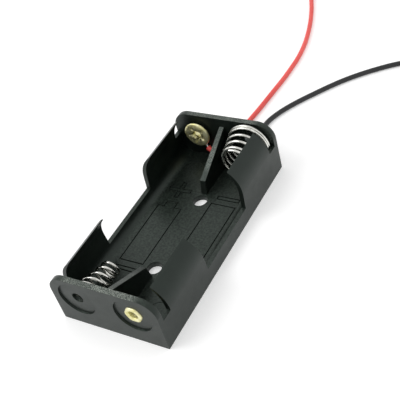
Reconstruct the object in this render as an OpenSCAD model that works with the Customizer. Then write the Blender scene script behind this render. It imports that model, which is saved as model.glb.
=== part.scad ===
// Open holder for two AAA cells laid side by side in opposite directions.
// One moulding with snap-over ears, two conical contact springs, two hollow
// rivet contacts and a pair of flexible leads.
// Frame: origin at the bottom centre of the moulding, +Z up, +Y towards the
// end that the leads leave, front = -Y. The moulding and the contacts are the
// same when turned half a turn about Z, apart from the lead holes.

/* [Cells] */
// Diameter of one AAA cell
cell_diameter = 10.5; // [10.2:0.1:10.8]
// Length of one AAA cell with its button
cell_length = 44.5; // [43.5:0.1:45]
// Distance between the two cell axes
cell_pitch = 12.2; // [12:0.1:13]
// Space under a seated cell
cell_lift = 0.4; // [0.2:0.1:0.8]
// Space between a seated cell and its side wall
cell_side_gap = 0.05; // [0.05:0.05:0.4]

// Length of a bay beyond its cell, for the rivet and the squeezed spring
spring_room = 4.9; // [4:0.1:9]

/* [Moulding] */
// Thickness of the floor
floor_thick = 1.4; // [1:0.1:2]
// Thickness of the end walls
end_wall = 1.3; // [1:0.1:2]
// Thickness of the side walls
side_wall = 1; // [0.8:0.1:1.4]
// Radius of the end walls' top corners
corner_radius = 3.8; // [2:0.1:4.5]
// Radius of the coves between the floor and the side walls
cove_radius = 2.4; // [1:0.1:3]

/* [Ears] */
// Angle that an ear climbs round its cell, up to the holder's top
lip_angle = 58.1; // [54:0.1:62]
// Thickness of an ear at its lip
lip_thick = 0.3; // [0.2:0.05:0.6]
// Length of the finger window between the ears, at its bottom edge
window_length = 17.2; // [12:0.1:20]
// Height of the side walls' low edge in the finger window
window_sill = 3.6; // [3:0.1:5]
// Lean of the ears' ends over their whole height
window_lean = 0.9; // [0:0.1:2]
// Width of the slot between each ear and its end wall
slot_width = 2.6; // [1.5:0.1:4]
// Height of the slots' bottom edge
slot_sill = 7; // [5:0.1:9]

/* [Dividers] */
// Length of a divider along its sloping top
divider_length = 11.8; // [8:0.1:13]
// Height of a divider at the end wall
divider_high = 10.3; // [8:0.1:11.5]
// Height of a divider at its free end
divider_low = 4.7; // [3:0.1:6]
// Lean of a divider's free end
divider_lean = 0.8; // [0:0.1:1.5]
// Thickness of a divider at the floor
divider_base = 1.5; // [1:0.1:1.6]
// Thickness of a divider at the holder's top
divider_top = 1.05; // [0.8:0.05:1.6]

/* [Holes] */
// Space between a divider's foot and the screw hole in front of it
screw_clearance = 0.4; // [0.2:0.1:1.5]
// Diameter of the screw holes
screw_hole = 3.2; // [2.5:0.1:3.6]
// Distance of the contacts outwards from the cell axes
contact_out = 0.4; // [0:0.1:0.7]
// Height of the contacts above the cell axes
contact_up = 0.55; // [0:0.05:0.9]
// Diameter of the round recesses in the end walls' outer faces
recess_diameter = 8.4; // [6:0.1:8.8]
// Depth of those recesses
recess_depth = 0.4; // [0.2:0.1:0.6]
// Diameter of the empty contact hole behind each spring
blank_hole = 2.5; // [2:0.1:3]
// Distance of the lead holes from the centre line
lead_hole_x = 2.7; // [2.3:0.1:2.8]
// Height of the lead holes
lead_hole_z = 3.5; // [3:0.1:3.6]
// Diameter of the ejector marks in the floor
ejector_mark = 4; // [3:0.1:5]
// Depth of the ejector marks
ejector_depth = 0.1; // [0.05:0.05:0.3]
// Distance of the ejector marks from the end walls
ejector_inset = 5.3; // [4:0.1:7]

/* [Contacts] */
// Diameter of a rivet contact's flange
flange_diameter = 6.2; // [5:0.1:7]
// Sheet thickness of a rivet contact
sheet = 0.3; // [0.2:0.05:0.4]
// Outer diameter of a rivet's barrel
barrel_diameter = 2.6; // [2.4:0.1:3]
// Diameter of a rivet's rolled-over outer end
roll_diameter = 3.8; // [3.4:0.1:4.6]
// Clearance between a rivet's barrel and its hole
barrel_gap = 0.05; // [0.03:0.01:0.15]

/* [Springs] */
// Diameter of the spring wire
wire = 0.6; // [0.4:0.05:0.7]
// Outside diameter of a spring's base turns
spring_base = 10; // [9.4:0.1:10.2]
// Distance of a spring's axis outwards from the cell axis
spring_out = 0.5; // [0.3:0.1:0.5]
// Height of the rear spring's axis above the cell axis
rear_up = 0.4; // [0:0.05:0.5]
// Depth of the front spring's axis below the cell axis
front_down = 0.5; // [0:0.05:0.5]
// Closed turns at a spring's base
base_turns = 1.5; // [1:0.25:2]
// Turns at a spring's tip
tip_turns = 1.1; // [0.6:0.1:1.6]
// Pitch of the turns at a spring's tip
tip_pitch = 1; // [0.7:0.05:1.2]
// Free length of the front spring, from the end wall to its tip
front_length = 9.7; // [8:0.1:11]
// Free length of the rear spring
rear_length = 7.7; // [7:0.1:9]
// Open turns of the front spring
front_turns = 4; // [3:0.5:5]
// Open turns of the rear spring
rear_turns = 3; // [2.5:0.5:4]
// Outside diameter of the front spring's tip
front_tip = 4.4; // [4:0.1:6]
// Outside diameter of the rear spring's tip
rear_tip = 7.9; // [6:0.1:9]
// Droop of the front spring's tip below its base
front_droop = 0.9; // [0:0.1:1]
// Droop of the rear spring's tip below its base
rear_droop = 0.2; // [0:0.1:1]
// Lean of the front spring's tip towards the centre line
front_lean = 0.8; // [0:0.1:1]

/* [Leads] */
// Outside diameter of a lead
lead_diameter = 1.2; // [1:0.1:1.4]
// Length of a lead from the holder to its far end
lead_length = 150; // [140:1:170]
// Length of tinned wire at a lead's far end
tinned_length = 5; // [3:0.5:8]

/* [Hidden] */

// Cell axes, inner faces and overall size
bay_length = cell_length + spring_room;
half_pitch = cell_pitch / 2;
axis_z = floor_thick + cell_lift + cell_diameter / 2;
inner_x = half_pitch + cell_diameter / 2 + cell_side_gap;
outer_x = inner_x + side_wall;
bay_end = bay_length / 2;
end_y = bay_end + end_wall;

// Ear: round outside about the cell axis, thinner towards its lip
ear_radius = outer_x - half_pitch;
ear_rise = ear_radius * sin(lip_angle);
lip_x = half_pitch + ear_radius * cos(lip_angle);
holder_height = axis_z + ear_rise;
lip_run = inner_x - lip_x;
lip_drop = ear_rise - lip_thick;
ear_hollow = (lip_run ^ 2 + lip_drop ^ 2) / (2 * lip_run);

// Spring seat: the base turns lie against the end wall, in a groove that also
// bites into the side wall
wire_gap = 0.03;
seat_gap = 0.02;
turn_gap = wire + wire_gap;
wire_seat = wire / 2 + seat_gap;
base_r = (spring_base - wire) / 2;
spring_x = half_pitch + spring_out;
front_z = axis_z - front_down;
rear_z = axis_z + rear_up;
groove_gap = 0.1;
groove_deep = (base_turns + 1) * turn_gap;
front_flare = 0.35;
rear_flare = 0.85;

// Holes in line with the cells and in front of the dividers
contact_x = half_pitch + contact_out;
contact_z = axis_z + contact_up;
screw_y = bay_end - divider_length - divider_lean - screw_clearance - screw_hole / 2;

// Rivet: the flange clamps a wire against the end wall
barrel_r = barrel_diameter / 2;
flange_seat = wire + 2 * wire_gap;
flange_rim = 0.2;
flange_rise = 0.6;
crown_r = 1.75;
mouth_drop = 0.45;
roll_height = recess_depth - wire_gap;

// Linking wire: from the base turn, straight under the divider's notch and
// round the neighbouring rivet's barrel
loop_r = barrel_r + barrel_gap + wire / 2;
link_run = [spring_x + contact_x, contact_z - front_z];
link_angle = atan2(link_run.y, link_run.x) + asin((base_r - loop_r) / norm(link_run));
link_start = [-spring_x + base_r * sin(link_angle), front_z - base_r * cos(link_angle)];
link_end = [contact_x + loop_r * sin(link_angle), contact_z - loop_r * cos(link_angle)];
notch_z = link_start.y - link_start.x * tan(link_angle);
notch_high = wire + divider_base * tan(link_angle) + 0.3;
notch_deep = wire + 0.15;

// Lead routes: straight out of the end wall, down to the table, then along it
lead_r = lead_diameter / 2;
core = 0.5;
hole_gap = 0.1;
red_route = [
    [-lead_hole_x, bay_end, lead_hole_z], [-lead_hole_x, end_y, lead_hole_z],
    [-2.7, 28, 3.4], [-2.6, 30.2, 2.8], [-2.4, 32.4, 1.8], [-2.2, 34.7, 0.9], [-1.9, 37.2, 0.6],
    [-1.6, 40, 0.6], [-1.2, 44, 0.6], [-0.9, 48, 0.6], [-0.6, 52, 0.6], [-0.3, 56, 0.6],
    [-0.2, 60, 0.6], [-0.2, 64, 0.6], [-0.5, 68, 0.6], [-1.1, 72, 0.6], [-2, 76, 0.6],
    [-3.1, 80, 0.6], [-4.4, 84, 0.6], [-5.9, 88, 0.6], [-7.6, 92, 0.6], [-9.4, 96, 0.6],
    [-11, 99, 0.6]
];
black_route = [
    [lead_hole_x, bay_end, lead_hole_z], [lead_hole_x, end_y, lead_hole_z],
    [2.7, 28, 3.4], [2.7, 30.2, 2.8], [2.6, 32.4, 1.8], [2.6, 34.7, 0.9], [2.7, 37.2, 0.6],
    [3.1, 40, 0.6], [4.2, 43, 0.6], [5.8, 46, 0.6], [7.7, 48.9, 0.6], [9.9, 51.9, 0.6],
    [12.1, 54.8, 0.6], [14.7, 57.9, 0.6], [17.6, 60.8, 0.6], [20.9, 63.6, 0.6],
    [24.5, 66.2, 0.6], [28.4, 68.4, 0.6], [32.2, 70.1, 0.6], [36, 71.5, 0.6]
];
red_tail_route = [
    [-lead_hole_x, bay_end, lead_hole_z], [-2.7, 24.35, 3.5], [-2.9, 24, 3.55],
    [-3.3, 23.8, 3.6], [-3.8, 23.8, 3.75], [-4.2, 23.9, 3.9], [-4.6, 24.05, 4.15]
];
coil_r = 6.6;
coil_rise = lead_diameter + 0.05;
tinned_r = 0.35;

// Total length of a line through points
function path_length(pts) =
    len(pts) < 2 ? 0 : norm(pts[1] - pts[0]) + path_length([for (i = [1:len(pts) - 1]) pts[i]]);

function unit(v) = v / norm(v);

// Direction of travel at point i of a line
function heading(pts, i) = unit(pts[min(i + 1, len(pts) - 1)] - pts[max(i - 1, 0)]);

// Ring of points round point i, in the plane across the line
function ring(pts, i, radius, sides, up) =
    let (
        along = heading(pts, i),
        across = unit(cross(along, up)),
        over = cross(across, along)
    )
    [for (k = [0:sides - 1]) pts[i] + radius * (cos(360 * k / sides) * across + sin(360 * k / sides) * over)];

// Round wire swept along a line; up is never parallel to the line
module swept_wire(pts, radius, up, sides = 10) {
    last = len(pts) - 1;
    points = [for (i = [0:last]) each ring(pts, i, radius, sides, up)];
    walls = [
        for (i = [0:last - 1], k = [0:sides - 1])
            let (a = i * sides + k, b = i * sides + (k + 1) % sides)
            each [[a, b, b + sides], [a, b + sides, a + sides]]
    ];
    first_cap = [for (k = [sides - 1:-1:0]) k];
    last_cap = [for (k = [0:sides - 1]) last * sides + k];
    polyhedron(points, concat([first_cap], walls, [last_cap]), convexity = 10);
}

// Wire centre of a spring at the front after t turns: closed base turns
// against the end wall, open turns that narrow, then the turns of the tip.
// shape = [axis height, free length, open turns, tip diameter, flare, droop,
// lean]
function spring_point(t, shape) =
    let (
        open = min(max((t - base_turns) / shape[2], 0), 1),
        base = min(t, base_turns) * turn_gap,
        tip = max(t - base_turns - shape[2], 0) * tip_pitch,
        rise = shape[1] - wire_seat - wire / 2 - base_turns * turn_gap - tip_turns * tip_pitch,
        narrow = open ^ shape[4],
        radius = base_r + ((shape[3] - wire) / 2 - base_r) * narrow,
        angle = link_angle - 90 - 360 * t
    )
    [
        -spring_x + shape[6] * narrow + radius * cos(angle),
        -bay_end + wire_seat + base + open * rise + tip,
        shape[0] - shape[5] * narrow + radius * sin(angle)
    ];

function spring_line(shape, rings = 20) =
    let (steps = round((base_turns + shape[2] + tip_turns) * rings))
    [for (i = [0:steps]) spring_point(i / rings, shape)];

// Wire from the rivet loop's free end to the spring's base turn
function link_line() =
    let (
        y = -bay_end + wire_seat,
        loop = [
            for (a = [270:-30:0])
                [contact_x + loop_r * cos(a + link_angle - 90), y, contact_z + loop_r * sin(a + link_angle - 90)]
        ],
        straight = [
            for (k = [0.25, 0.5, 0.75])
                [link_end.x + (link_start.x - link_end.x) * k, y, link_end.y + (link_start.y - link_end.y) * k]
        ]
    )
    concat(loop, straight);

// Outline across the moulding, without its hollow
module outer_section() {
    intersection() {
        union() {
            translate([-outer_x, 0]) square([2 * outer_x, axis_z]);
            translate([-half_pitch, 0]) square([cell_pitch, holder_height]);
            for (side = [-1, 1])
                translate([side * half_pitch, axis_z]) circle(ear_radius, $fn = 128);
        }
        translate([-outer_x, 0]) square([2 * outer_x, holder_height]);
    }
}

// Hollow across the moulding: coved floor, upright sides, ears that close in
module hollow_section() {
    cove_x = inner_x - cove_radius;
    cove_z = floor_thick + cove_radius;
    translate([-cove_x, floor_thick]) square([2 * cove_x, axis_z - floor_thick]);
    translate([-inner_x, cove_z]) square([2 * inner_x, axis_z - cove_z]);
    translate([-lip_x, axis_z - 0.01]) square([2 * lip_x, holder_height]);
    for (side = [-1, 1]) {
        translate([side * cove_x, cove_z]) circle(cove_radius, $fn = 64);
        intersection() {
            translate([side * (inner_x - ear_hollow), axis_z]) circle(ear_hollow, $fn = 128);
            translate([-inner_x, axis_z - 0.01]) square([2 * inner_x, ear_rise - lip_thick + 0.01]);
        }
    }
}

// Floor, side walls and the four ears
module trough() {
    difference() {
        rotate([90, 0, 0]) linear_extrude(bay_length, center = true) difference() {
            outer_section();
            hollow_section();
        }
        rotate([90, 0, 90]) linear_extrude(2 * outer_x + 2, center = true) window_outline();
        for (end = [-1, 1])
            translate([-outer_x - 1, end * (bay_end - slot_width / 2) - slot_width / 2, slot_sill])
                cube([2 * outer_x + 2, slot_width, holder_height]);
    }
}

// Side view of the finger window between the ears
module window_outline() {
    sill = window_length / 2;
    top = sill + window_lean;
    polygon([[-sill, window_sill], [sill, window_sill], [top, holder_height + 1], [-top, holder_height + 1]]);
}

// End wall with round top corners
module end_plate() {
    translate([-outer_x, 0]) square([2 * outer_x, holder_height - corner_radius]);
    translate([-outer_x + corner_radius, 0]) square([2 * (outer_x - corner_radius), holder_height]);
    for (side = [-1, 1])
        translate([side * (outer_x - corner_radius), holder_height - corner_radius])
            circle(corner_radius, $fn = 96);
}

// Front divider: slopes down from the end wall and thins towards its top
module divider() {
    tip = bay_end - divider_length;
    foot = tip - divider_lean;
    intersection() {
        rotate([90, 0, 90]) linear_extrude(divider_base + 1, center = true)
            polygon([
                [-bay_end, 0], [-foot, 0], [-foot, floor_thick],
                [-tip, divider_low], [-bay_end, divider_high]
            ]);
        rotate([90, 0, 0]) linear_extrude(2 * bay_length, center = true)
            polygon([
                [-divider_base / 2, 0], [divider_base / 2, 0],
                [divider_top / 2, holder_height], [-divider_top / 2, holder_height]
            ]);
    }
}

// All that is cut at the front end: contact holes, recesses, mark and notch
module front_cuts() {
    for (side = [-1, 1])
        translate([side * contact_x, -end_y - 1, contact_z]) rotate([-90, 0, 0])
            cylinder(h = recess_depth + 1, d = recess_diameter, $fn = 96);
    translate([-contact_x, -end_y - 1, contact_z]) rotate([-90, 0, 0])
        cylinder(h = end_wall + 2, d = blank_hole, $fn = 48);
    translate([contact_x, -end_y - 1, contact_z]) rotate([-90, 0, 0])
        cylinder(h = end_wall + 2, r = barrel_r + barrel_gap, $fn = 48);
    translate([contact_x, -bay_end + ejector_inset, floor_thick - ejector_depth])
        cylinder(h = 1, d = ejector_mark, $fn = 64);
    translate([-divider_base, -bay_end, notch_z - notch_high / 2])
        cube([2 * divider_base, notch_deep, notch_high]);
}

module holder_body() {
    color("#3c413d") difference() {
        union() {
            trough();
            for (turn = [0, 180]) rotate([0, 0, turn]) {
                translate([0, -bay_end, 0]) rotate([90, 0, 0]) linear_extrude(end_wall) end_plate();
                divider();
            }
        }
        for (turn = [0, 180]) rotate([0, 0, turn]) front_cuts();
        spring_groove(front_z);
        rotate([0, 0, 180]) spring_groove(rear_z);
        for (end = [-1, 1])
            translate([0, end * screw_y, -1]) cylinder(h = floor_thick + 2, d = screw_hole, $fn = 64);
        for (side = [-1, 1])
            translate([side * lead_hole_x, bay_end - 1, lead_hole_z]) rotate([-90, 0, 0])
                cylinder(h = end_wall + 2, d = lead_diameter + 2 * hole_gap, $fn = 32);
    }
}

// Round seat that the base turns of a front spring are pressed into
module spring_groove(height) {
    translate([-spring_x, -bay_end, height]) rotate([-90, 0, 0])
        cylinder(h = groove_deep, d = spring_base + 2 * groove_gap, $fn = 96);
}

// Hollow rivet with a crowned flange inside and a rolled end outside
module eyelet() {
    bore_r = barrel_r - sheet;
    flange_r = flange_diameter / 2;
    roll_r = roll_diameter / 2;
    roll_seat = recess_depth - end_wall;
    roll_mid = (bore_r + roll_r) / 2;
    crown = [
        for (a = [0:15:90])
            [crown_r + (flange_r - crown_r) * cos(a), flange_seat + flange_rim + (flange_rise - flange_rim) * sin(a)]
    ];
    mouth = [
        for (a = [15:15:90])
            [crown_r - (crown_r - bore_r) * sin(a), flange_seat + flange_rise - mouth_drop * (1 - cos(a))]
    ];
    roll = [
        for (a = [180:-20:0])
            [roll_mid + (roll_r - bore_r) / 2 * cos(a), roll_seat - roll_height * sin(a)]
    ];
    color("#c9b878") translate([contact_x, -bay_end, contact_z]) rotate([-90, 0, 0])
        rotate_extrude($fn = 64)
            polygon(concat([[barrel_r, flange_seat], [flange_r, flange_seat]], crown, mouth, roll, [[barrel_r, roll_seat]]));
}

module front_eyelet() {
    eyelet();
}

module rear_eyelet() {
    rotate([0, 0, 180]) eyelet();
}

module front_spring() {
    shape = [front_z, front_length, front_turns, front_tip, front_flare, front_droop, front_lean];
    color("#d8d9d6") swept_wire(concat(link_line(), spring_line(shape)), wire / 2, [0, 1, 0]);
}

module rear_spring() {
    shape = [rear_z, rear_length, rear_turns, rear_tip, rear_flare, rear_droop, 0];
    color("#d8d9d6") rotate([0, 0, 180]) swept_wire(spring_line(shape), wire / 2, [0, 1, 0]);
}

module lead_tube(route, shade) {
    color(shade) swept_wire(route, lead_r, [0, 0, 1]);
}

// Turns that a lead's spare length makes in its coil
function coil_turns(route) = (lead_length - path_length(route) - tinned_length) / (2 * PI * coil_r);

// Frame of a coil: its centre to the right of the lead's last stretch, with
// the lead running in at the frame's -X side towards +Y
module at_coil(route) {
    end = route[len(route) - 1];
    along = end - route[len(route) - 2];
    translate([end.x, end.y, 0]) rotate([0, 0, atan2(along.y, along.x) - 90])
        translate([coil_r, 0, 0]) children();
}

// Outer shape of the coil's turns
module lead_coil(route, shade) {
    high = coil_turns(route) * coil_rise;
    color(shade) at_coil(route) rotate_extrude($fn = 64) translate([coil_r, lead_r]) {
        translate([-lead_r, 0]) square([lead_diameter, high]);
        circle(lead_r, $fn = 32);
        translate([0, high]) circle(lead_r, $fn = 32);
    }
}

// Tinned wire: leaves the coil's top turn and slopes down to the table
module lead_end(route) {
    high = lead_r + coil_turns(route) * coil_rise;
    slope = asin((high - tinned_r) / tinned_length);
    color("#c8c8c4") at_coil(route) rotate([0, 0, -360 * coil_turns(route)])
        translate([-coil_r, 0, high]) rotate([-90 - slope, 0, 0])
            cylinder(h = tinned_length, r = tinned_r, $fn = 24);
}

module red_lead() {
    lead_tube(red_route, "#e2453f");
}

module red_lead_tail() {
    lead_tube(red_tail_route, "#e2453f");
}

// Stripped strands from the red lead's inner end, clamped under the rear rivet
module red_lead_core() {
    core_r = core / 2;
    seat = bay_end - core_r - wire_gap;
    wrap_r = barrel_r + barrel_gap + core_r;
    wrap = [
        for (a = [0:30:240])
            [-contact_x + wrap_r * cos(a), seat, contact_z + wrap_r * sin(a)]
    ];
    color("#c8c8c4") swept_wire(
        concat([[-4.6, 24.05, 4.15], [-4.85, 24.25, 4.55], [-4.95, seat, 5], [-4.9, seat, 6.3]], wrap),
        core_r, [0, 1, 0]);
}

module red_lead_coil() {
    lead_coil(red_route, "#e2453f");
}

module red_lead_end() {
    lead_end(red_route);
}

module black_lead() {
    lead_tube(black_route, "#2b2d2e");
}

// Stripped strands from the black lead's inner end, beside the base turns
module black_lead_core() {
    color("#c8c8c4") translate([lead_hole_x, bay_end, lead_hole_z]) rotate([90, 0, 0])
        cylinder(h = base_turns * turn_gap, d = core, $fn = 24);
}

module black_lead_coil() {
    lead_coil(black_route, "#2b2d2e");
}

module black_lead_end() {
    lead_end(black_route);
}

holder_body();
front_eyelet();
rear_eyelet();
front_spring();
rear_spring();
red_lead();
red_lead_tail();
red_lead_core();
red_lead_coil();
red_lead_end();
black_lead();
black_lead_core();
black_lead_coil();
black_lead_end();
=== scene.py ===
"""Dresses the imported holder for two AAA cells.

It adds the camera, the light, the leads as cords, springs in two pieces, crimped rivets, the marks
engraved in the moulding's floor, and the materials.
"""

import math

import bmesh
import bpy
from mathutils import Matrix, Vector


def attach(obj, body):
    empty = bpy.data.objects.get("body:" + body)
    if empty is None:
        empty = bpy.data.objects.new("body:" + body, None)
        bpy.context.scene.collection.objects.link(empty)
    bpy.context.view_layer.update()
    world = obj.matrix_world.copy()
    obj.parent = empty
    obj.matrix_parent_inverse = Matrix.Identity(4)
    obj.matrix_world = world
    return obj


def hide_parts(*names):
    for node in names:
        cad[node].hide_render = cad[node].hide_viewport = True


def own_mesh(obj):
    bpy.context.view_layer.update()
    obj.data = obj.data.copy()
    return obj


# Lengths are in millimetres, in the frame of the holder, and become metres by this factor
MM = 0.001

# Camera, with its angle of view in degrees
CAMERA_AT = (83.998, -90.930, 118.376)
CAMERA_FORWARD = (-0.47765, 0.57470, -0.66451)
CAMERA_UP = (-0.17845, 0.67713, 0.71389)
CAMERA_ANGLE = 27.792
CAMERA_CLIP = 1.0

# Light. WORLD_LEVEL is the white world's strength as light; where it is seen it has full strength.
# The key lamp's places and size are in metres and its power in watts.
WORLD_LEVEL = 0.8
KEY_AT = (-0.34, -0.2, 0.46)
KEY_TOWARDS = (0, 0, 0.005)
KEY_SIZE = 0.4
KEY_POWER = 1.1

# Floor under the holder
FLOOR_REACH = 1500
FLOOR_DROP = 0.02
FLOOR_BASE = 0.88
FLOOR_GLOW = 0.3

# The moulding, as in the part's source: an end wall's inner face from the middle, and the floor's top
BAY_END = 24.7
FLOOR_TOP = 1.4

# Outlines engraved in the left bay's floor; the right bay has them turned by half a turn
CELL_OUTLINE = [
    (-8.7, -10), (-2.9, -10), (-2.9, 6.5), (-4.6, 6.5), (-4.6, 8.2), (-7.2, 8.2), (-7.2, 6.5), (-8.7, 6.5),
]
MINUS_OUTLINE = [(-8.7, -12.5), (-3.5, -12.5), (-3.5, -11.6), (-8.7, -11.6)]
PLUS_CENTRE = (-6.05, 12.0)
PLUS_REACH = (2.7, 2.4)
PLUS_STROKE = 0.42

# Heights over the floor and half widths of an engraved line, from its bottom up
MARK_SECTION = [(-0.22, 0.08), (-0.07, 0.1), (-0.02, 0.14), (0.0, 0.2), (0.4, 0.6)]

# The moulding's broken edges, and the angles in degrees that join faces, break edges and shade them sharp
EDGE_BREAK = 0.12
BREAK_STEPS = 2
FLAT_ANGLE = 0.4
BREAK_ANGLE = 50
BODY_SHARP = 32
NORMAL_WEIGHT = 100

# Corners nearer than this to each other are joined
MARK_MERGE = 0.0001
BODY_MERGE = 0.002
RIVET_MERGE = 0.001

# Springs. z is the axis's height, length the free length, closed and turns the closed and open turns,
# tip the outside diameter at the tip and tip_pitch a tip turn's rise. A small flare narrows early.
# droop and lean move the tip down and inwards, and tuck narrows the base turn.
WIRE = 0.6
TURN_GAP = 0.63
WIRE_SEAT = 0.32
BASE_R = 4.7
SPRING_X = 6.6
TIP_TURNS = 1.1
TUCK_TURNS = 0.6
SPRINGS = {
    "front": {
        "z": 6.55, "length": 9.7, "closed": 1.1, "turns": 4.1, "tip": 4.4, "tip_pitch": 0.72,
        "flare": 0.35, "droop": 1.1, "lean": 0.8, "tuck": 0.45, "travel": 6.0,
    },
    "rear": {
        "z": 7.45, "length": 7.7, "closed": 1.5, "turns": 3, "tip": 7.9, "tip_pitch": 1.0,
        "flare": 0.85, "droop": 0.2, "lean": 0.0, "tuck": 0.0, "travel": 4.0,
    },
}
SPRING_RINGS = 44
SPRING_SIDES = 14

# The front spring's wire round its neighbour's rivet, with its points every LOOP_STEP degrees
LOOP_R = 1.65
LOOP_POINTS = 28
LOOP_START = 270
LOOP_STEP = 10
RUN_STEPS = 12

# Rivets: their place, the folds crimped in the mouth, and the lobes of the rolled end
CONTACT_X = 6.5
CONTACT_Z = 7.6
BARREL_R = 1.3
CRIMP_R = 2.3
CRIMP_INNER_R = 0.9
CRIMP_FROM = 0.9
CRIMP_DEEP = 0.36
CRIMP_FOLDS = 5
CRIMP_TURN = 2.6
ROLL_LOBES = 6
ROLL_WAVE = 0.035
ROLL_FROM = 0.1
RIVET_SHARP = 50

# Leads, with TINNED_AHEAD in turns of the coil, to find its heading where it ends
LEAD_D = 1.2
LEAD_LENGTH = 150.0
TINNED_LENGTH = 5.0
TINNED_D = 0.7
COIL_R = 6.6
COIL_RISE = 1.25
RED_ROUTE = [
    (-2.7, 24.7, 3.5), (-2.7, 26, 3.5), (-2.7, 28, 3.4), (-2.6, 30.2, 2.8), (-2.4, 32.4, 1.8),
    (-2.2, 34.7, 0.9), (-1.9, 37.2, 0.6), (-1.6, 40, 0.6), (-1.2, 44, 0.6), (-0.9, 48, 0.6),
    (-0.6, 52, 0.6), (-0.3, 56, 0.6), (-0.2, 60, 0.6), (-0.2, 64, 0.6), (-0.5, 68, 0.6),
    (-1.1, 72, 0.6), (-2, 76, 0.6), (-3.1, 80, 0.6), (-4.4, 84, 0.6), (-5.9, 88, 0.6),
    (-7.6, 92, 0.6), (-9.4, 96, 0.6), (-11, 99, 0.6),
]
BLACK_ROUTE = [
    (2.7, 24.7, 3.5), (2.7, 26, 3.5), (2.7, 28, 3.4), (2.7, 30.2, 2.8), (2.6, 32.4, 1.8),
    (2.6, 34.7, 0.9), (2.7, 37.2, 0.6), (3.1, 40, 0.6), (4.2, 43, 0.6), (5.8, 46, 0.6),
    (7.7, 48.9, 0.6), (9.9, 51.9, 0.6), (12.1, 54.8, 0.6), (14.7, 57.9, 0.6), (17.6, 60.8, 0.6),
    (20.9, 63.6, 0.6), (24.5, 66.2, 0.6), (28.4, 68.4, 0.6), (32.2, 70.1, 0.6), (36, 71.5, 0.6),
]
RED_TAIL = [
    (-2.7, 24.7, 3.5), (-2.7, 24.35, 3.5), (-2.9, 24, 3.55), (-3.3, 23.8, 3.6),
    (-3.8, 23.8, 3.75), (-4.2, 23.9, 3.9), (-4.6, 24.05, 4.15),
]
LEAD_STEP = 0.9
LEAD_SIDES = 16
COIL_STEPS = 40
TINNED_AHEAD = 0.001
TINNED_STEPS = 6
TINNED_SIDES = 12

# The red lead's inner tail swells over TAIL_SWELL_RUN before its cut end, which is rounded
TAIL_STEP = 0.12
TAIL_SIDES = 18
TAIL_SWELL = 0.12
TAIL_SWELL_RUN = 0.9
TAIL_END = 0.72
TAIL_ROUNDING = 0.5

# Edges of wires and leads over this angle in degrees are shaded sharp
WIRE_SHARP = 60

# Each span goes from where an effect is absent to where it is full. These are values of a noise:
MOTTLE_SPAN = (0.35, 0.65)
# The next two spans set the pale specks painted on the top edges as glints, and their patches
SPECK_SPAN = (0.44, 0.66)
PATCH_SPAN = (0.35, 0.6)
# The next span sets the patches of shade painted in the rivets' mouths
MOUTH_SHADE_SPAN = (0.44, 0.56)

# The upward part of a face's normal, for faces that look up
UPWARD_SPAN = (0.8, 0.95)

# Height and distance from the middle plane, for the pale specks painted on the moulding's top edges as their
# glints (painted highlight)
SPECK_HEIGHTS = (5.5, 6.5)
SPECK_ACROSS = (9.2, 7.5)

# Distance from a rivet's axis and from the middle of the holder, for the shade painted in each rivet's mouth
MOUTH_SHADE_RADII = (2.3, 1.2)
MOUTH_SHADE_ALONG = (BAY_END, BAY_END - 0.4)


# ---------------------------------------------------------------- geometry

def shade(mesh, sharp):
    """Smooth shading, but for edges over an angle in degrees."""
    mesh.polygons.foreach_set("use_smooth", [True] * len(mesh.polygons))
    mesh.set_sharp_from_angle(angle=math.radians(sharp))


def new_mesh(name, verts, faces, smooth=True):
    """A mesh object whose corners are given in millimetres."""
    mesh = bpy.data.meshes.new(name)
    mesh.from_pydata([[c * MM for c in v] for v in verts], [], faces)
    mesh.update()
    if smooth:
        shade(mesh, WIRE_SHARP)
    obj = bpy.data.objects.new(name, mesh)
    bpy.context.scene.collection.objects.link(obj)
    return obj


def copy_of(source, name):
    """A piece that starts with a CAD node's shape."""
    obj = bpy.data.objects.new(name, source.data.copy())
    bpy.context.scene.collection.objects.link(obj)
    return obj


def dress(piece, mat, slot, *stands_for):
    """Gives a piece its material, and says what it rides on and hides the CAD nodes it stands for; the slot,
    what it is made of, is not used.
    """
    piece.data.materials.clear()
    piece.data.materials.append(mat)
    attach(piece, "holder")
    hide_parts(*stands_for)


def write_back(bm, mesh):
    """Puts edited faces into a mesh, with no sharp edges and none of the import's own normals."""
    for edge in bm.edges:
        edge.smooth = True
    bm.to_mesh(mesh)
    bm.free()
    if "custom_normal" in mesh.attributes:
        mesh.attributes.remove(mesh.attributes["custom_normal"])
    mesh.update()


def clean(mesh, merge, flat=None):
    """Joins doubled corners, turns faces outwards and joins faces that meet at under flat degrees."""
    bm = bmesh.new()
    bm.from_mesh(mesh)
    bmesh.ops.remove_doubles(bm, verts=bm.verts, dist=merge * MM)
    bmesh.ops.recalc_face_normals(bm, faces=bm.faces)
    if flat is not None:
        bmesh.ops.dissolve_limit(bm, angle_limit=math.radians(flat), verts=bm.verts, edges=bm.edges)
    write_back(bm, mesh)


def bake(obj):
    """Turns an object's modifiers into its mesh."""
    bpy.context.view_layer.update()
    graph = bpy.context.evaluated_depsgraph_get()
    final = bpy.data.meshes.new_from_object(obj.evaluated_get(graph))
    obj.modifiers.clear()
    obj.data = final


def frames_along(points, up):
    """A direction across and one over the line at each of its points, turned as little as possible."""
    pts = [Vector(p) for p in points]
    heads = []
    for i in range(len(pts)):
        heads.append((pts[min(i + 1, len(pts) - 1)] - pts[max(i - 1, 0)]).normalized())
    across = heads[0].cross(Vector(up)).normalized()
    out = []
    for head in heads:
        across = (across - head * across.dot(head)).normalized()
        out.append((across.copy(), across.cross(head) * -1))
    return pts, out


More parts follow.
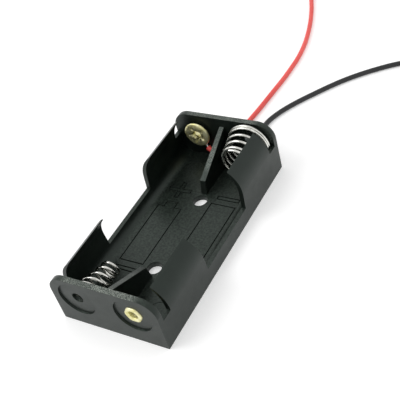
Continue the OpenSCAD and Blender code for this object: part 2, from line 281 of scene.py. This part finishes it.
def tube(points, radius, sides, up=(0, 0, 1)):
    """Corners and faces of a round closed tube along points. radius is a number or one number per point."""
    pts, frames = frames_along(points, up)
    radii = radius if isinstance(radius, list) else [radius] * len(pts)
    verts, faces = [], []
    for p, (across, over), r in zip(pts, frames, radii):
        for k in range(sides):
            t = 2 * math.pi * k / sides
            verts.append(p + r * (math.cos(t) * across + math.sin(t) * over))
    for i in range(len(pts) - 1):
        for k in range(sides):
            a, b = i * sides + k, i * sides + (k + 1) % sides
            faces.append((a, b, b + sides, a + sides))
    last = (len(pts) - 1) * sides
    faces.append(tuple(range(sides - 1, -1, -1)))
    faces.append(tuple(last + k for k in range(sides)))
    return verts, faces


def smooth_line(points, step):
    """Catmull-Rom line through points, with a new point about every step millimetres."""
    pts = [Vector(p) for p in points]
    ext = [2 * pts[0] - pts[1]] + pts + [2 * pts[-1] - pts[-2]]
    out = []
    for i in range(1, len(ext) - 2):
        p0, p1, p2, p3 = ext[i - 1], ext[i], ext[i + 1], ext[i + 2]
        n = max(1, round((p2 - p1).length / step))
        for j in range(n):
            t = j / n
            out.append(0.5 * ((2 * p1) + (p2 - p0) * t + (2 * p0 - 5 * p1 + 4 * p2 - p3) * t * t
                              + (3 * p1 - p0 - 3 * p2 + p3) * t ** 3))
    out.append(pts[-1])
    return out


def line_length(points):
    return sum((Vector(b) - Vector(a)).length for a, b in zip(points, points[1:]))


# ------------------------------------------------------------------- leads

def coil_turns(route):
    """How many turns the rest of a lead makes after its route, without the tinned end."""
    spare = LEAD_LENGTH - line_length(route) - TINNED_LENGTH
    return spare / (2 * math.pi * COIL_R)


def coil_point(route, turns):
    """A point of a lead's coil, which turns clockwise from the route's end and climbs as it goes."""
    end, before = Vector(route[-1]), Vector(route[-2])
    along = (end - before).normalized()
    right = Vector((along.y, -along.x, 0))
    centre = end + right * COIL_R
    a = 2 * math.pi * turns
    out = centre - right * COIL_R * math.cos(a) + along * COIL_R * math.sin(a)
    return Vector((out.x, out.y, end.z + COIL_RISE * turns))


def lead_path(route):
    """Centreline of a lead's insulation, from the end wall's inner face to where it is stripped."""
    straight = smooth_line(route, LEAD_STEP)
    for p in straight:
        p.z = max(p.z, LEAD_D / 2)
    turns = coil_turns(route)
    steps = math.ceil(turns * COIL_STEPS)
    return straight + [coil_point(route, turns * i / steps) for i in range(1, steps + 1)]


def tinned_path(route):
    """Centreline of the tinned strands, which come down from the coil's end to the floor."""
    turns = coil_turns(route)
    start = coil_point(route, turns)
    ahead = coil_point(route, turns + TINNED_AHEAD) - start
    ahead.z = 0
    drop = start.z - TINNED_D / 2
    run = math.sqrt(TINNED_LENGTH ** 2 - drop ** 2)
    far = start + ahead.normalized() * run
    far.z = TINNED_D / 2
    return [start.lerp(far, t / TINNED_STEPS) for t in range(TINNED_STEPS + 1)]


def make_lead(colour, route, mat, tinned_mat):
    """One lead with its coil and its tinned end, in a piece named as a cord."""
    path = lead_path(route)
    verts, faces = tube(path, LEAD_D / 2, LEAD_SIDES)
    lead = new_mesh(f"{colour}_lead_cord", verts, faces)
    dress(lead, mat, f"{colour}_insulation", f"{colour}_lead", f"{colour}_lead_coil")
    verts, faces = tube(tinned_path(route), TINNED_D / 2, TINNED_SIDES)
    tip = new_mesh(f"{colour}_lead_tinned", verts, faces)
    dress(tip, tinned_mat, "tinned_copper", f"{colour}_lead_end")


def make_tail(mat):
    """The red lead's insulation inside the bay, swollen at its cut end by the heat of soldering."""
    line = smooth_line(RED_TAIL, TAIL_STEP)
    radii = []
    for i in range(len(line)):
        left = line_length(line[i:])
        swell = 1 + TAIL_SWELL * max(0.0, 1 - left / TAIL_SWELL_RUN)
        radii.append(LEAD_D / 2 * swell * min(1.0, TAIL_END + left / TAIL_ROUNDING))
    verts, faces = tube(line, radii, TAIL_SIDES)
    dress(new_mesh("red_lead_inner", verts, faces), mat, "red_insulation", "red_lead_tail")


# ---------------------------------------------------------------- moulding

def plus_outline():
    (cx, cy), (rx, ry), s = PLUS_CENTRE, PLUS_REACH, PLUS_STROKE
    corners = [(s, s), (s, ry), (-s, ry), (-s, s), (-rx, s), (-rx, -s),
               (-s, -s), (-s, -ry), (s, -ry), (s, -s), (rx, -s), (rx, s)]
    return [(cx + x, cy + y) for x, y in corners]


def offset_loop(loop, by):
    """A closed loop of points moved sideways by a distance, with mitred corners."""
    out = []
    for i, p in enumerate(loop):
        a = (Vector(p) - Vector(loop[i - 1])).normalized()
        b = (Vector(loop[(i + 1) % len(loop)]) - Vector(p)).normalized()
        na, nb = Vector((-a.y, a.x)), Vector((-b.y, b.x))
        mitre = (na + nb) / (1 + na.dot(nb))
        out.append(Vector(p) + mitre * by)
    return out


def groove_solid(loop, verts, faces):
    """Adds a closed ring that stands in the floor along a loop and has the groove's rounded section."""
    n, start = len(loop), len(verts)
    for height, half in MARK_SECTION:
        for by in (-half, half):
            verts.extend((q.x, q.y, FLOOR_TOP + height) for q in offset_loop(loop, by))
    rows = len(MARK_SECTION)
    top = start + 2 * (rows - 1) * n
    for i in range(n):
        j = (i + 1) % n
        for row in range(rows - 1):
            inner, outer = start + 2 * row * n, start + (2 * row + 1) * n
            faces.append((inner + j, inner + i, inner + 2 * n + i, inner + 2 * n + j))
            faces.append((outer + i, outer + j, outer + 2 * n + j, outer + 2 * n + i))
        faces.append((start + i, start + j, start + n + j, start + n + i))
        faces.append((top + j, top + i, top + n + i, top + n + j))


def mark_cutter():
    """The solid that cuts all the engraved outlines."""
    verts, faces = [], []
    for loop in (CELL_OUTLINE, MINUS_OUTLINE, plus_outline()):
        groove_solid(loop, verts, faces)
        groove_solid([(-x, -y) for x, y in loop], verts, faces)
    cutter = new_mesh("mark_cutter", verts, faces, False)
    clean(cutter.data, MARK_MERGE)
    return cutter


def make_moulding(source, mat):
    """The moulded body: the CAD node's shape with the floor's engraved outlines and lightly broken edges."""
    cutter = mark_cutter()
    body = copy_of(source, "moulded_body")
    clean(body.data, BODY_MERGE, FLAT_ANGLE)
    soften = body.modifiers.new("edges", "BEVEL")
    soften.width = EDGE_BREAK * MM
    soften.segments = BREAK_STEPS
    soften.limit_method = "ANGLE"
    soften.angle_limit = math.radians(BREAK_ANGLE)
    soften.miter_outer = "MITER_ARC"
    cut = body.modifiers.new("marks", "BOOLEAN")
    cut.operation = "DIFFERENCE"
    cut.solver = "EXACT"
    cut.object = cutter
    bake(body)
    bpy.data.objects.remove(cutter)
    shade(body.data, BODY_SHARP)
    even = body.modifiers.new("even_shading", "WEIGHTED_NORMAL")
    even.weight = NORMAL_WEIGHT
    even.keep_sharp = True
    bake(body)
    dress(body, mat, "body_plastic", "holder_body")


# ------------------------------------------------------------------ rivets

def from_axis(point, side):
    """How far a point lies across and over a rivet's axis."""
    return point.x / MM + side * CONTACT_X, point.z / MM - CONTACT_Z


def into_bay(point):
    """How far a point lies from the end wall's inner face into the bay."""
    return BAY_END - abs(point.y) / MM


def in_mouth(point, side):
    """Whether a point lies on the raised middle of a rivet's flange, inside the bay."""
    return math.hypot(*from_axis(point, side)) < CRIMP_R and into_bay(point) > CRIMP_FROM


def crimp(point, side):
    """Pushes a point of the mouth back into a fold, or moves one of the roll in or out with its lobes."""
    across, up = from_axis(point, side)
    radius, angle = math.hypot(across, up), math.atan2(up, across)
    if in_mouth(point, side):
        fold = max(0.0, math.cos(CRIMP_FOLDS * angle + CRIMP_TURN)) ** 2
        inwards = min(max((CRIMP_R - radius) / (CRIMP_R - CRIMP_INNER_R), 0), 1)
        near = math.sin(math.pi * inwards)
        point.y += side * CRIMP_DEEP * fold * near * MM
    elif into_bay(point) < 0 and radius > BARREL_R + ROLL_FROM:
        wave = 1 + ROLL_WAVE * math.cos(ROLL_LOBES * angle)
        point.x += across * (wave - 1) * MM
        point.z += up * (wave - 1) * MM


def make_rivet(end, source, mat):
    """A rivet with folds crimped in its mouth, inside the bay, and a slightly lobed roll outside."""
    side = -1 if end == "front" else 1
    rivet = copy_of(source, f"{end}_rivet")
    bm = bmesh.new()
    bm.from_mesh(rivet.data)
    bmesh.ops.remove_doubles(bm, verts=bm.verts, dist=RIVET_MERGE * MM)
    mouth = [e for e in bm.edges if all(in_mouth(v.co, side) for v in e.verts)]
    bmesh.ops.subdivide_edges(bm, edges=mouth, cuts=1, use_grid_fill=True)
    for v in bm.verts:
        crimp(v.co, side)
    bmesh.ops.recalc_face_normals(bm, faces=bm.faces)
    write_back(bm, rivet.data)
    shade(rivet.data, RIVET_SHARP)
    dress(rivet, mat, "contact_brass", f"{end}_eyelet")


# ----------------------------------------------------------------- springs

def link_angle():
    """Slope of the wire that links the front spring to the rivet beside it."""
    run = Vector((SPRING_X + CONTACT_X, CONTACT_Z - SPRINGS["front"]["z"]))
    return math.atan2(run.y, run.x) + math.asin((BASE_R - LOOP_R) / run.length)


def spring_point(shape, t):
    """Wire centre after t turns, for a spring at the front."""
    opened = min(max((t - shape["closed"]) / shape["turns"], 0), 1)
    narrow = opened ** shape["flare"]
    closed = shape["closed"] * TURN_GAP
    rise = shape["length"] - WIRE_SEAT - WIRE / 2 - closed - TIP_TURNS * shape["tip_pitch"]
    in_tip = max(t - shape["closed"] - shape["turns"], 0)
    up = min(t, shape["closed"]) * TURN_GAP + opened * rise + in_tip * shape["tip_pitch"]
    base_r = BASE_R - shape["tuck"] * min(t / TUCK_TURNS, 1)
    radius = base_r + ((shape["tip"] - WIRE) / 2 - base_r) * narrow
    angle = link_angle() - math.pi / 2 - 2 * math.pi * t
    return Vector((
        -SPRING_X + shape["lean"] * narrow + radius * math.cos(angle),
        -BAY_END + WIRE_SEAT + up,
        shape["z"] - shape["droop"] * narrow + radius * math.sin(angle),
    ))


def link_points():
    """The wire's loop round the rivet's barrel and its straight run to the spring's base turn."""
    slope = link_angle()
    spring_z = SPRINGS["front"]["z"]
    y = -BAY_END + WIRE_SEAT
    loop = []
    for i in range(LOOP_POINTS):
        a = math.radians(LOOP_START - LOOP_STEP * i) + slope - math.pi / 2
        loop.append(Vector((CONTACT_X + LOOP_R * math.cos(a), y, CONTACT_Z + LOOP_R * math.sin(a))))
    far = Vector((-SPRING_X + BASE_R * math.sin(slope), y, spring_z - BASE_R * math.cos(slope)))
    return loop + [loop[-1].lerp(far, k / RUN_STEPS) for k in range(1, RUN_STEPS)]


def turned(points):
    """Points turned by half a turn about the holder's middle."""
    return [Vector((-p.x, -p.y, p.z)) for p in points]


def wire_piece(name, line, end, mat):
    """A length of a spring's wire as its own piece."""
    verts, faces = tube(line, WIRE / 2, SPRING_SIDES, up=(0, 1, 0))
    piece = new_mesh(name, verts, faces)
    dress(piece, mat, "spring_steel", f"{end}_spring")
    return piece


def make_spring(end, mat):
    """One spring in two pieces: the closed base turns and the open turns."""
    shape = SPRINGS[end]
    total = shape["closed"] + shape["turns"] + TIP_TURNS
    line = [spring_point(shape, i / SPRING_RINGS) for i in range(round(total * SPRING_RINGS) + 1)]
    split = round(shape["closed"] * SPRING_RINGS)
    base, coil = line[:split + 1], line[split:]
    if end == "front":
        base = link_points() + base
    else:
        base, coil = turned(base), turned(coil)
    wire_piece(f"{end}_spring_base", base, end, mat)
    body = wire_piece(f"{end}_spring_coil", coil, end, mat)
    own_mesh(body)


# ------------------------------------------------------------- shader nodes

class Tree:
    """The nodes and links of a material or the world, with its shader."""

    def __init__(self, owner, shader):
        owner.use_nodes = True
        self.nodes = owner.node_tree.nodes
        self.links = owner.node_tree.links
        self.shader = self.nodes[shader]


def linear(rgb):
    """An sRGB colour from 0 to 255 as a linear one."""
    out = []
    for c in rgb:
        c = c / 255
        out.append(c / 12.92 if c <= 0.04045 else ((c + 0.055) / 1.055) ** 2.4)
    return (*out, 1)


def object_space(tree):
    return tree.nodes.new("ShaderNodeTexCoord").outputs["Object"]


def noise(tree, where, scale, detail=2.0):
    node = tree.nodes.new("ShaderNodeTexNoise")
    node.inputs["Scale"].default_value = scale
    node.inputs["Detail"].default_value = detail
    tree.links.new(where, node.inputs["Vector"])
    return node.outputs["Fac"]


def ranged(tree, value, start=(0.0, 1.0), end=(0.0, 1.0)):
    """A value carried over from one range to another, and held at the ends."""
    node = tree.nodes.new("ShaderNodeMapRange")
    node.inputs["From Min"].default_value = start[0]
    node.inputs["From Max"].default_value = start[1]
    node.inputs["To Min"].default_value = end[0]
    node.inputs["To Max"].default_value = end[1]
    tree.links.new(value, node.inputs["Value"])
    return node.outputs["Result"]


def in_metres(span):
    return span[0] * MM, span[1] * MM


def worked_out(tree, operation, *values):
    """The result of a Math node on values that come from other nodes."""
    node = tree.nodes.new("ShaderNodeMath")
    node.operation = operation
    for i, value in enumerate(values):
        tree.links.new(value, node.inputs[i])
    return node.outputs[0]


def times(tree, a, b):
    return worked_out(tree, "MULTIPLY", a, b)


def blended(tree, factor, a, b):
    """Colour a where the factor is 0 and b where it is 1. b is another node's colour or a fixed one."""
    node = tree.nodes.new("ShaderNodeMix")
    node.data_type = "RGBA"
    tree.links.new(factor, node.inputs["Factor"])
    tree.links.new(a, node.inputs["A"])
    if isinstance(b, tuple):
        node.inputs["B"].default_value = b
    else:
        tree.links.new(b, node.inputs["B"])
    return node.outputs["Result"]


def direct_rays(tree):
    """1 for rays that come from the camera, a reflection or a clear material, 0 for the rest."""
    path = tree.nodes.new("ShaderNodeLightPath").outputs
    seen = worked_out(tree, "MAXIMUM", path["Is Camera Ray"], path["Is Glossy Ray"])
    return worked_out(tree, "MAXIMUM", seen, path["Is Transmission Ray"])


def parts_of(tree, vector):
    """The X, Y and Z outputs of a vector."""
    node = tree.nodes.new("ShaderNodeSeparateXYZ")
    tree.links.new(vector, node.inputs[0])
    return node.outputs


# --------------------------------------------------------------- materials

def material(name, roughness, metallic, specular):
    """A new material and its tree, with fixed values on the shader's own sockets."""
    mat = bpy.data.materials.new(name)
    tree = Tree(mat, "Principled BSDF")
    tree.shader.inputs["Roughness"].default_value = roughness
    tree.shader.inputs["Metallic"].default_value = metallic
    tree.shader.inputs["Specular IOR Level"].default_value = specular
    return mat, tree


def mottled(tree, where, low, high, scale, detail=3.0):
    """A colour that drifts between two sRGB colours with a noise."""
    ramp = tree.nodes.new("ShaderNodeValToRGB")
    first, last = ramp.color_ramp.elements[0], ramp.color_ramp.elements[1]
    first.position, last.position = MOTTLE_SPAN
    first.color = linear(low)
    last.color = linear(high)
    tree.links.new(noise(tree, where, scale, detail), ramp.inputs["Fac"])
    return ramp.outputs["Color"]


def coloured(tree, colour):
    tree.links.new(colour, tree.shader.inputs["Base Color"])


def roughened(tree, where, scale, low, high):
    """Roughness that drifts between two values."""
    level = ranged(tree, noise(tree, where, scale), end=(low, high))
    tree.links.new(level, tree.shader.inputs["Roughness"])


def bumped(tree, where, scale, strength, distance):
    """Relief from a noise, as deep as a distance in millimetres."""
    bump = tree.nodes.new("ShaderNodeBump")
    bump.inputs["Strength"].default_value = strength
    bump.inputs["Distance"].default_value = distance * MM
    tree.links.new(noise(tree, where, scale), bump.inputs["Height"])
    tree.links.new(bump.outputs["Normal"], tree.shader.inputs["Normal"])


def upward_faces(tree):
    """1 on faces that look straight up, 0 on walls."""
    shape = tree.nodes.new("ShaderNodeNewGeometry")
    facing = parts_of(tree, shape.outputs["True Normal"])
    return ranged(tree, facing["Z"], start=UPWARD_SPAN)


def painted_top_glints(tree, where):
    """Where the painted highlight goes: specks in patches on faces that look up, well over the bays' floor
    and not far out to the sides, standing in for the glints of their rough texture.
    """
    place = parts_of(tree, where)
    high = ranged(tree, place["Z"], start=in_metres(SPECK_HEIGHTS))
    aside = worked_out(tree, "ABSOLUTE", place["X"])
    middle = ranged(tree, aside, start=in_metres(SPECK_ACROSS))
    speck = ranged(tree, noise(tree, where, scale=7200, detail=1.0), start=SPECK_SPAN)
    patch = ranged(tree, noise(tree, where, scale=95), start=PATCH_SPAN)
    glint_place = times(tree, times(tree, upward_faces(tree), high), middle)
    return times(tree, glint_place, times(tree, speck, patch))


def plastic_material():
    """Satin black, fine-grained plastic, paler on faces that look up, where the glints of its texture are
    painted in (painted highlight), and with pale specks painted on the top edges, which the mould has
    roughened, as their glints (painted highlight).
    """
    mat, tree = material("black_plastic", roughness=0.42, metallic=0.0, specular=0.45)
    tree.shader.inputs["Specular Tint"].default_value = (0.86, 1.0, 0.92, 1)
    where = object_space(tree)
    grain_and_glints = mottled(tree, where, (2, 5, 3), (40, 48, 42), scale=2300, detail=4.0)
    calm = mottled(tree, where, (7, 12, 9), (14, 20, 16), scale=260)
    roughened(tree, where, scale=420, low=0.3, high=0.46)
    bumped(tree, where, scale=3200, strength=0.6, distance=0.014)
    # Faces that look up take the paler fine speckle, with the glints of their texture painted in (painted
    # highlight); walls take the calm colour
    plain = blended(tree, upward_faces(tree), calm, grain_and_glints)
    # Painted highlight: the pale colour on the top edges stands in for the glints of their rough texture
    coloured(tree, blended(tree, painted_top_glints(tree, where), plain, linear((156, 162, 154))))
    return mat


def insulation_material(name, low, high):
    """Soft smooth plastic."""
    mat, tree = material(name, roughness=0.42, metallic=0.0, specular=0.5)
    where = object_space(tree)
    coloured(tree, mottled(tree, where, low, high, scale=180))
    roughened(tree, where, scale=500, low=0.36, high=0.5)
    bumped(tree, where, scale=2600, strength=0.25, distance=0.01)
    return mat


def metal_material(name, low, high, rough_low, rough_high):
    """Bare metal, drawn or tinned."""
    mat, tree = material(name, roughness=0.3, metallic=1.0, specular=0.5)
    where = object_space(tree)
    coloured(tree, mottled(tree, where, low, high, scale=900))
    roughened(tree, where, scale=1530, low=rough_low, high=rough_high)
    bumped(tree, where, scale=3600, strength=0.25, distance=0.006)
    return mat


def rivet_mouths(tree, where):
    """1 at the mouth of either rivet, inside the bay, where shade is painted, and 0 elsewhere."""
    place = parts_of(tree, where)
    spot = tree.nodes.new("ShaderNodeCombineXYZ")
    tree.links.new(worked_out(tree, "ABSOLUTE", place["X"]), spot.inputs["X"])
    tree.links.new(place["Z"], spot.inputs["Z"])
    away = tree.nodes.new("ShaderNodeVectorMath")
    away.operation = "DISTANCE"
    away.inputs[1].default_value = (CONTACT_X * MM, 0, CONTACT_Z * MM)
    tree.links.new(spot.outputs[0], away.inputs[0])
    near = ranged(tree, away.outputs["Value"], start=in_metres(MOUTH_SHADE_RADII))
    lengthwise = worked_out(tree, "ABSOLUTE", place["Y"])
    in_bay = ranged(tree, lengthwise, start=in_metres(MOUTH_SHADE_ALONG))
    return times(tree, in_bay, near)


def brass_material():
    """Pale brass plating, with shade painted dark brown in the folds round each rivet's mouth (painted
    shade).
    """
    mat, tree = material("pale_brass", roughness=0.3, metallic=0.8, specular=0.5)
    where = object_space(tree)
    bright = mottled(tree, where, (222, 216, 152), (244, 240, 200), scale=900)
    roughened(tree, where, scale=1530, low=0.34, high=0.52)
    bumped(tree, where, scale=3600, strength=0.4, distance=0.01)
    cloud = ranged(tree, noise(tree, where, scale=1100, detail=4.0), start=MOUTH_SHADE_SPAN)
    # Painted shade: dark brown in patches in each rivet's mouth, where its folds and hole lie in shade
    painted_mouth_shade = times(tree, rivet_mouths(tree, where), cloud)
    coloured(tree, blended(tree, painted_mouth_shade, bright, linear((62, 54, 22))))
    return mat


def floor_material():
    """Pale floor that shows as white where it is lit and keeps the object's shadow."""
    mat, tree = material("pale_floor", roughness=0.9, metallic=0.0, specular=0.1)
    tree.shader.inputs["Base Color"].default_value = (FLOOR_BASE, FLOOR_BASE, FLOOR_BASE, 1)
    tree.shader.inputs["Emission Color"].default_value = (1, 1, 1, 1)
    glow = ranged(tree, direct_rays(tree), end=(0.0, FLOOR_GLOW))
    tree.links.new(glow, tree.shader.inputs["Emission Strength"])
    return mat


# ------------------------------------------------------------------ studio

def make_camera():
    data = bpy.data.cameras.new("camera")
    data.lens_unit = "FOV"
    data.angle = math.radians(CAMERA_ANGLE)
    data.clip_start = CAMERA_CLIP * MM
    cam = bpy.data.objects.new("camera", data)
    forward, up = Vector(CAMERA_FORWARD).normalized(), Vector(CAMERA_UP).normalized()
    right = forward.cross(up).normalized()
    up = right.cross(forward)
    basis = Matrix((right, up, -forward)).transposed().to_4x4()
    cam.matrix_world = Matrix.Translation(Vector(CAMERA_AT) * MM) @ basis
    bpy.context.scene.collection.objects.link(cam)
    bpy.context.scene.camera = cam


def make_world():
    """White studio: full white where the camera or a reflection sees it, a little less as light."""
    world = bpy.data.worlds.new("studio")
    tree = Tree(world, "Background")
    tree.shader.inputs["Color"].default_value = (1, 1, 1, 1)
    level = ranged(tree, direct_rays(tree), end=(WORLD_LEVEL, 1.0))
    tree.links.new(level, tree.shader.inputs["Strength"])
    bpy.context.scene.world = world


def make_key():
    """One soft round lamp, high up to the left of the holder and a little in front of it."""
    data = bpy.data.lights.new("key", "AREA")
    data.shape = "DISK"
    data.size = KEY_SIZE
    data.energy = KEY_POWER
    lamp = bpy.data.objects.new("key", data)
    lamp.location = KEY_AT
    aim = Vector(KEY_TOWARDS) - Vector(KEY_AT)
    lamp.rotation_euler = aim.to_track_quat("-Z", "Y").to_euler()
    bpy.context.scene.collection.objects.link(lamp)


def make_floor():
    s = FLOOR_REACH
    floor = new_mesh("studio_floor", [(-s, -s, 0), (s, -s, 0), (s, s, 0), (-s, s, 0)], [(0, 1, 2, 3)], False)
    floor.location.z = -FLOOR_DROP * MM
    floor.data.materials.append(floor_material())


# -------------------------------------------------------------------- main

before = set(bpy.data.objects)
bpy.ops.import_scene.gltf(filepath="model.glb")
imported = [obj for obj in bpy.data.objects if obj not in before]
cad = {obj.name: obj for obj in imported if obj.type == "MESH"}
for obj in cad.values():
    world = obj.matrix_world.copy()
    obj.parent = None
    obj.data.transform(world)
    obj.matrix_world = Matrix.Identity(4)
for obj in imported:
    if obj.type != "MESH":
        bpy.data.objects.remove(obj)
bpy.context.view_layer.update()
bpy.context.scene.view_settings.view_transform = "Standard"
make_camera()

plastic = plastic_material()
brass = brass_material()
steel = metal_material("bright_steel", (196, 196, 190), (228, 228, 222), 0.1, 0.2)
tinned = metal_material("tinned_copper", (190, 190, 186), (216, 216, 212), 0.28, 0.42)
red = insulation_material("red_insulation", (234, 80, 74), (244, 94, 87))
black = insulation_material("black_insulation", (16, 18, 20), (26, 28, 30))

# The leads' inner strands are the only CAD nodes that show as they are
for name in ("red_lead_core", "black_lead_core"):
    cad[name].data.materials.clear()
    cad[name].data.materials.append(tinned)

make_moulding(cad["holder_body"], plastic)
for end in ("front", "rear"):
    make_rivet(end, cad[f"{end}_eyelet"], brass)
for end in ("front", "rear"):
    make_spring(end, steel)
make_lead("red", RED_ROUTE, red, tinned)
make_lead("black", BLACK_ROUTE, black, tinned)
make_tail(red)
make_floor()
make_world()
make_key()
